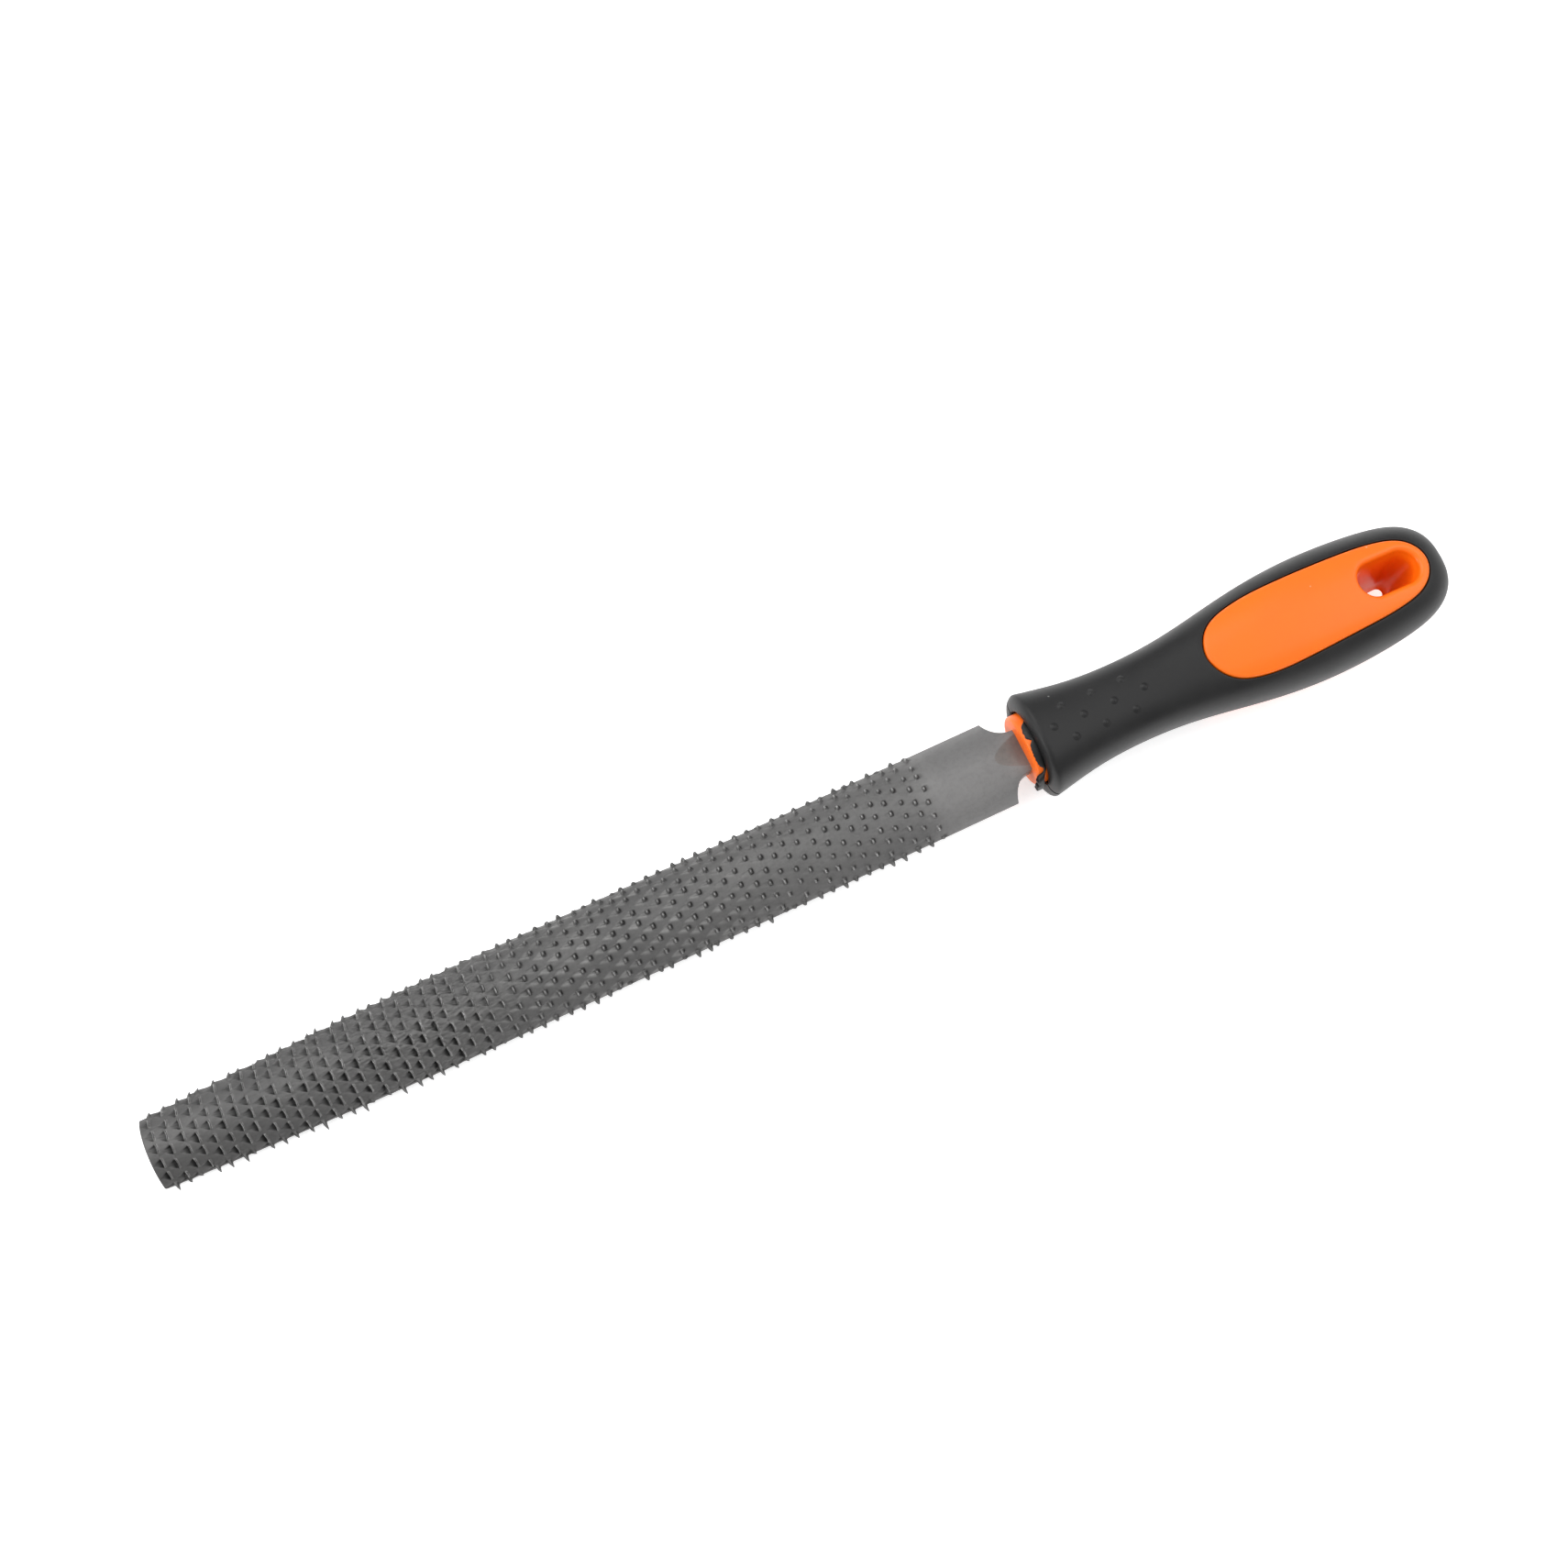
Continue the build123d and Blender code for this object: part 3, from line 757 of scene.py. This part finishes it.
def slot_rows(verts, mouth_row, rim, throat, slot_out, opening, sign):
    """Rows of vertices from the slot's rounded mouth down to its throat, from a row already in the pad."""
    mouth = throat + slot_out * (MOUTH_LEVEL * opening)
    rim_height = skin_height(rim[:, 0], rim[:, 1])
    rows = [mouth_row]
    for turn in np.radians(range(15, 91, 15)):
        spot = mouth + (rim - mouth) * (1 - math.sin(turn))
        z = rim_height - SLOT_ROUNDING * (1 - math.cos(turn))
        rows.append(add_row(verts, np.column_stack([spot, sign * z])))
    for level in WALL_LEVELS:
        spot = throat + slot_out * (level * opening)
        rows.append(add_row(verts, np.column_stack([spot, np.full(SLOT_POINTS, sign * level)])))
    return rows


def add_collar(verts, faces):
    """The collar at the front, a short oval stub with a rounded rim."""
    theta = np.linspace(0, 2 * math.pi, RIM_POINTS, endpoint=False)
    # X, inset from the collar's side
    profile = [(-COLLAR_OUT, COLLAR_FACE_INSET)]
    profile += [(-COLLAR_OUT + COLLAR_ROUNDING * (1 - math.sin(t)), COLLAR_ROUNDING * (1 - math.cos(t)))
                for t in np.radians(range(90, 0, -20))]
    profile += [(0.0, 0.0), (COLLAR_DEPTH, 0.0), (COLLAR_DEPTH, COLLAR_FACE_INSET)]
    rows = []
    for x, inset in profile:
        y, z = oval_point(COLLAR_WIDTH / 2 - inset, COLLAR_HEIGHT / 2 - inset, theta, 2)
        rows.append(add_row(verts, np.column_stack([np.full(RIM_POINTS, x), y, z])))
    faces += strips(rows)
    close_ring(verts, faces, rows[0], (-COLLAR_OUT, 0, 0))
    close_ring(verts, faces, rows[-1], (COLLAR_DEPTH, 0, 0))


def build_core():
    """The orange core: a pad on both faces, the hang slot through them, and the collar."""
    loop, out = window_loop()
    pad_edge = loop - out * (GAP + LIP[0][0])
    throat, slot_out = slot_loop(THROAT_LENGTH, THROAT_WIDTH)
    rim = throat + slot_out * (MOUTH_LEVEL * math.tan(SLOT_DRAFT)) + slot_out * SLOT_ROUNDING
    points, triangles = fill(pad_edge, [rim], SKIN_SPACING)
    height = skin_height(points[:, 0], points[:, 1])
    count = len(points)
    verts = [*np.column_stack([points, height]), *np.column_stack([points, -height])]
    faces = triangles + [tuple(count + v for v in t) for t in triangles]
    pad_sides, slot_sides = [], []
    for sign, first, opening in ((1, 0, math.tan(SLOT_DRAFT)), (-1, count, -SLOT_NARROWING)):
        edge_row = list(range(first, first + WINDOW_POINTS))
        mouth_row = list(range(first + WINDOW_POINTS, first + WINDOW_POINTS + SLOT_POINTS))
        pad_sides.append(lip_rows(verts, edge_row, loop, -out, sign))
        slot_sides.append(slot_rows(verts, mouth_row, rim, throat, slot_out, opening, sign))
    faces += strips(pad_sides[0] + pad_sides[1][::-1])
    faces += strips(slot_sides[0] + slot_sides[1][::-1])
    add_collar(verts, faces)
    piece = make_piece("orange_core", verts, faces, 50)
    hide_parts("handle_core")
    return piece


blade = build_blade()
grip = build_grip()
core = build_core()

# ---------------- materials ----------------


def new_material(name, color, roughness, metallic=0.0):
    """A Principled material, its shader, a function that adds a node with its links and values, and one that
    links two sockets."""
    material = bpy.data.materials.new(name)
    material.use_nodes = True
    tree = material.node_tree
    shader = tree.nodes["Principled BSDF"]
    shader.inputs["Base Color"].default_value = (*color, 1)
    shader.inputs["Roughness"].default_value = roughness
    shader.inputs["Metallic"].default_value = metallic

    def node(kind, links=(), **values):
        made = tree.nodes.new(kind)
        for key, value in values.items():
            if key in made.inputs.keys():
                made.inputs[key].default_value = value
            else:
                setattr(made, key, value)
        for source, target in links:
            tree.links.new(source, made.inputs[target])
        return made

    return material, shader, node, tree.links.new


def mixed(node, factor, first, second):
    """The colour between two colours, each a value or a socket."""
    mix = node("ShaderNodeMix", data_type="RGBA")
    for name, source in (("Factor", factor), ("A", first), ("B", second)):
        if isinstance(source, (int, float)):
            mix.inputs[name].default_value = source
        elif isinstance(source, tuple):
            mix.inputs[name].default_value = (*source, 1)
        else:
            mix.id_data.links.new(source, mix.inputs[name])
    return mix.outputs["Result"]


def ranged(node, source, low, high, to_low=0.0, to_high=1.0):
    """A value moved from one range to another."""
    made = node("ShaderNodeMapRange", [(source, "Value")])
    for name, value in (("From Min", low), ("From Max", high), ("To Min", to_low), ("To Max", to_high)):
        made.inputs[name].default_value = value
    return made.outputs["Result"]


def joined(node, kind, *sources):
    """Arithmetic on two values, each a number or a socket."""
    made = node("ShaderNodeMath", operation=kind)
    for k, source in enumerate(sources):
        if isinstance(source, (int, float)):
            made.inputs[k].default_value = source
        else:
            made.id_data.links.new(source, made.inputs[k])
    return made.outputs["Value"]


def noise(node, place, scale, detail, roughness=0.5):
    """Cloudy noise over the piece, with this many clouds to the metre."""
    made = node("ShaderNodeTexNoise", [(place, "Vector")], Scale=scale, Detail=detail, Roughness=roughness)
    return made.outputs["Fac"]


def specks(node, place, scale, size, share):
    """Scattered tiny dots: 1 in a dot, 0 elsewhere, in a share of the cells."""
    cells = node("ShaderNodeTexVoronoi", [(place, "Vector")], Scale=scale, Randomness=1.0)
    dot = ranged(node, cells.outputs["Distance"], size, size * 0.6)
    chance = node("ShaderNodeSeparateColor", [(cells.outputs["Color"], "Color")]).outputs["Red"]
    return joined(node, "MULTIPLY", dot, joined(node, "LESS_THAN", chance, share))


def add_bump(node, shader, height, strength, distance):
    """Fine unevenness of a material's skin, distance in metres."""
    bump = node("ShaderNodeBump", [(height, "Height")], Strength=strength, Distance=distance)
    bump.id_data.links.new(bump.outputs["Normal"], shader.inputs["Normal"])


def steel():
    """Punched tool steel: grey scale-toned metal with lighter patches, a painted highlight on the crests and
    painted shade in the hollows and corners.
    """
    material, shader, node, link = new_material("rasp_steel", (0.15, 0.147, 0.143), 0.5, 0.65)
    place = node("ShaderNodeTexCoord").outputs["Object"]
    marks = {name: node("ShaderNodeAttribute", attribute_name=name).outputs["Fac"] for name in MARKS}
    cloud = noise(node, place, 55.0, 5.0, 0.6)
    fine = noise(node, place, 900.0, 4.0, 0.7)
    color = mixed(node, ranged(node, cloud, 0.35, 0.65), (0.205, 0.202, 0.199), (0.178, 0.176, 0.175))
    color = mixed(node, ranged(node, fine, 0.45, 0.75, 0.0, 0.35), color, (0.11, 0.107, 0.105))
    lighter_patch = joined(node, "MULTIPLY", marks["patch"], ranged(node, fine, 0.3, 0.65, 1.0, 0.6))
    color = mixed(node, lighter_patch, color, (0.4, 0.397, 0.39))
    stain = mixed(node, ranged(node, fine, 0.3, 0.7), (0.125, 0.113, 0.105), (0.17, 0.156, 0.145))
    color = mixed(node, joined(node, "MULTIPLY", marks["facet"], 0.75), color, stain)
    # painted highlight on the tops of the teeth and the backs of the chips
    color = mixed(node, marks["painted_highlight"], color, (0.6, 0.595, 0.59))
    # painted shade in the scoops, their creases and under the nubs, and over the bodies of the teeth
    color = mixed(node, joined(node, "MULTIPLY", marks["painted_shade"], 0.87), color, (0.012, 0.0115, 0.011))
    # the tone scales the colour, and carries the painted light across the round side
    toned = node("ShaderNodeVectorMath", [(color, 0), (marks["tone"], 3)], operation="SCALE")
    link(toned.outputs["Vector"], shader.inputs["Base Color"])
    rough = ranged(node, cloud, 0.3, 0.7, 0.46, 0.56)
    rough = joined(node, "SUBTRACT", rough, joined(node, "MULTIPLY", marks["painted_highlight"], 0.12))
    link(rough, shader.inputs["Roughness"])
    grain = noise(node, place, 2200.0, 3.0)
    add_bump(node, shader, grain, 0.3, 0.00005)
    return material


def rubber():
    """Black moulded rubber with a satin skin, faint scuffs and specks of dust."""
    material, shader, node, link = new_material("grip_rubber", (0.012, 0.012, 0.0125), 0.46)
    place = node("ShaderNodeTexCoord").outputs["Object"]
    cloud = noise(node, place, 70.0, 6.0, 0.65)
    dust = specks(node, place, 260.0, 0.07, 0.14)
    color = mixed(node, ranged(node, cloud, 0.35, 0.7), (0.0045, 0.0045, 0.0048), (0.009, 0.009, 0.0092))
    color = mixed(node, joined(node, "MULTIPLY", dust, 0.5), color, (0.25, 0.25, 0.24))
    link(color, shader.inputs["Base Color"])
    link(ranged(node, cloud, 0.3, 0.7, 0.4, 0.52), shader.inputs["Roughness"])
    shader.inputs["Specular IOR Level"].default_value = 0.33
    grain = noise(node, place, 1500.0, 4.0)
    height = joined(node, "ADD", grain, joined(node, "MULTIPLY", cloud, 1.6))
    add_bump(node, shader, height, 0.22, 0.00007)
    return material


def plastic():
    """Orange hard plastic with a satin gloss, a faint flow mottle and a few fine scuffs."""
    material, shader, node, link = new_material("orange_plastic", (0.86, 0.17, 0.03), 0.34)
    place = node("ShaderNodeTexCoord").outputs["Object"]
    cloud = noise(node, place, 38.0, 3.0)
    nicks = specks(node, place, 420.0, 0.12, 0.05)
    color = mixed(node, ranged(node, cloud, 0.35, 0.65), (0.86, 0.15, 0.003), (0.87, 0.135, 0.005))
    color = mixed(node, joined(node, "MULTIPLY", nicks, 0.35), color, (0.95, 0.55, 0.35))
    link(color, shader.inputs["Base Color"])
    link(ranged(node, cloud, 0.3, 0.7, 0.28, 0.38), shader.inputs["Roughness"])
    grain = noise(node, place, 420.0, 4.0, 0.6)
    add_bump(node, shader, grain, 0.1, 0.00006)
    shader.inputs["Specular IOR Level"].default_value = 0.32
    shader.inputs["Subsurface Weight"].default_value = 0.06
    shader.inputs["Subsurface Radius"].default_value = (0.002, 0.0006, 0.0002)
    return material


blade.data.materials.append(steel())
grip.data.materials.append(rubber())
core.data.materials.append(plastic())

# ---------------- floor and light, in metres ----------------

FLOOR_HALF = 1.5
SKY_HORIZON = (0.42, 0.42, 0.425, 1)
SKY_SHADES = ((0.3, 0.5), (0.62, 0.85))  # level between the horizon and straight up, brightness

floor_mesh = bpy.data.meshes.new("floor")
floor_corners = [(x * FLOOR_HALF, y * FLOOR_HALF, 0) for x, y in ((-1, -1), (1, -1), (1, 1), (-1, 1))]
floor_mesh.from_pydata(floor_corners, [], [(0, 1, 2, 3)])
floor = bpy.data.objects.new("floor", floor_mesh)
bpy.context.scene.collection.objects.link(floor)
floor_material, floor_shader, _, _ = new_material("white_table", (0.9, 0.9, 0.9), 0.9)
floor_shader.inputs["Emission Color"].default_value = (1, 1, 1, 1)
floor_shader.inputs["Emission Strength"].default_value = 0.5
floor.data.materials.append(floor_material)

# Soft studio light from above: bright overhead, darker towards the horizon.
world = bpy.data.worlds.new("studio")
world.use_nodes = True
sky = world.node_tree
direction = sky.nodes.new("ShaderNodeTexCoord")
parts = sky.nodes.new("ShaderNodeSeparateXYZ")
fade = sky.nodes.new("ShaderNodeValToRGB")
shades = fade.color_ramp.elements
shades[0].color, shades[1].color = SKY_HORIZON, (1, 1, 1, 1)
for level, shade in SKY_SHADES:
    shades.new(level).color = (shade, shade, shade, 1)
sky.links.new(direction.outputs["Generated"], parts.inputs["Vector"])
sky.links.new(parts.outputs["Z"], fade.inputs["Fac"])
sky.links.new(fade.outputs["Color"], sky.nodes["Background"].inputs["Color"])
sky.nodes["Background"].inputs["Strength"].default_value = 1.0
bpy.context.scene.world = world
bpy.context.scene.view_settings.view_transform = "Standard"


def softbox(name, spot, aim, size, power):
    """A large square light."""
    light = bpy.data.lights.new(name, "AREA")
    light.size, light.energy = size, power
    lamp = bpy.data.objects.new(name, light)
    bpy.context.scene.collection.objects.link(lamp)
    lamp.location = spot
    lamp.rotation_mode = "QUATERNION"
    lamp.rotation_quaternion = (Vector(spot) - Vector(aim)).to_track_quat("Z", "Y")


softbox("key", (-0.3, 0.6, 0.85), (0, 0, 0), 1.0, 7.0)
softbox("fill", (0.7, -0.1, 0.8), (0, 0, 0), 0.9, 3.5)
softbox("front", (-0.85, 0.1, 0.3), (0.05, 0, 0), 0.35, 2.4)

# ---------------- camera, in metres ----------------

# from above the blade, turned so that the tool runs up to the right
CAMERA_TURN = math.radians(25.47)
CAMERA_LEAN = (math.radians(-3.0), math.radians(15.0))
CAMERA_HEIGHT = 0.4222
CAMERA_ASIDE = (0.02893, 0.09727)  # from under the camera to the tool's middle, to its right and ahead
FRAME_WIDTH, LENS_OVER_FRAME = 36.0, 1.239

straight_down = Vector((math.tan(CAMERA_LEAN[0]), math.tan(CAMERA_LEAN[1]), 1)).normalized()
level_right = (Vector((1, 0, 0)) - straight_down * straight_down.x).normalized()
level_down = straight_down.cross(level_right)
c, s = math.cos(CAMERA_TURN), math.sin(CAMERA_TURN)
across, ahead = Vector((c, -s, 0)), Vector((s, c, 0))
right, down, away = (across * level_right[k] - ahead * level_down[k] - Vector((0, 0, 1)) * straight_down[k]
                     for k in range(3))
aside, beyond = CAMERA_ASIDE
camera_data = bpy.data.cameras.new("camera")
camera_data.sensor_width = FRAME_WIDTH
camera_data.lens = FRAME_WIDTH * LENS_OVER_FRAME
camera_data.clip_start, camera_data.clip_end = 0.01, 10
camera = bpy.data.objects.new("camera", camera_data)
bpy.context.scene.collection.objects.link(camera)
pose = Matrix((right, -down, -away)).transposed().to_4x4()
pose.translation = Vector((-(aside * c + beyond * s), aside * s - beyond * c, CAMERA_HEIGHT))
camera.matrix_world = pose
bpy.context.scene.camera = camera
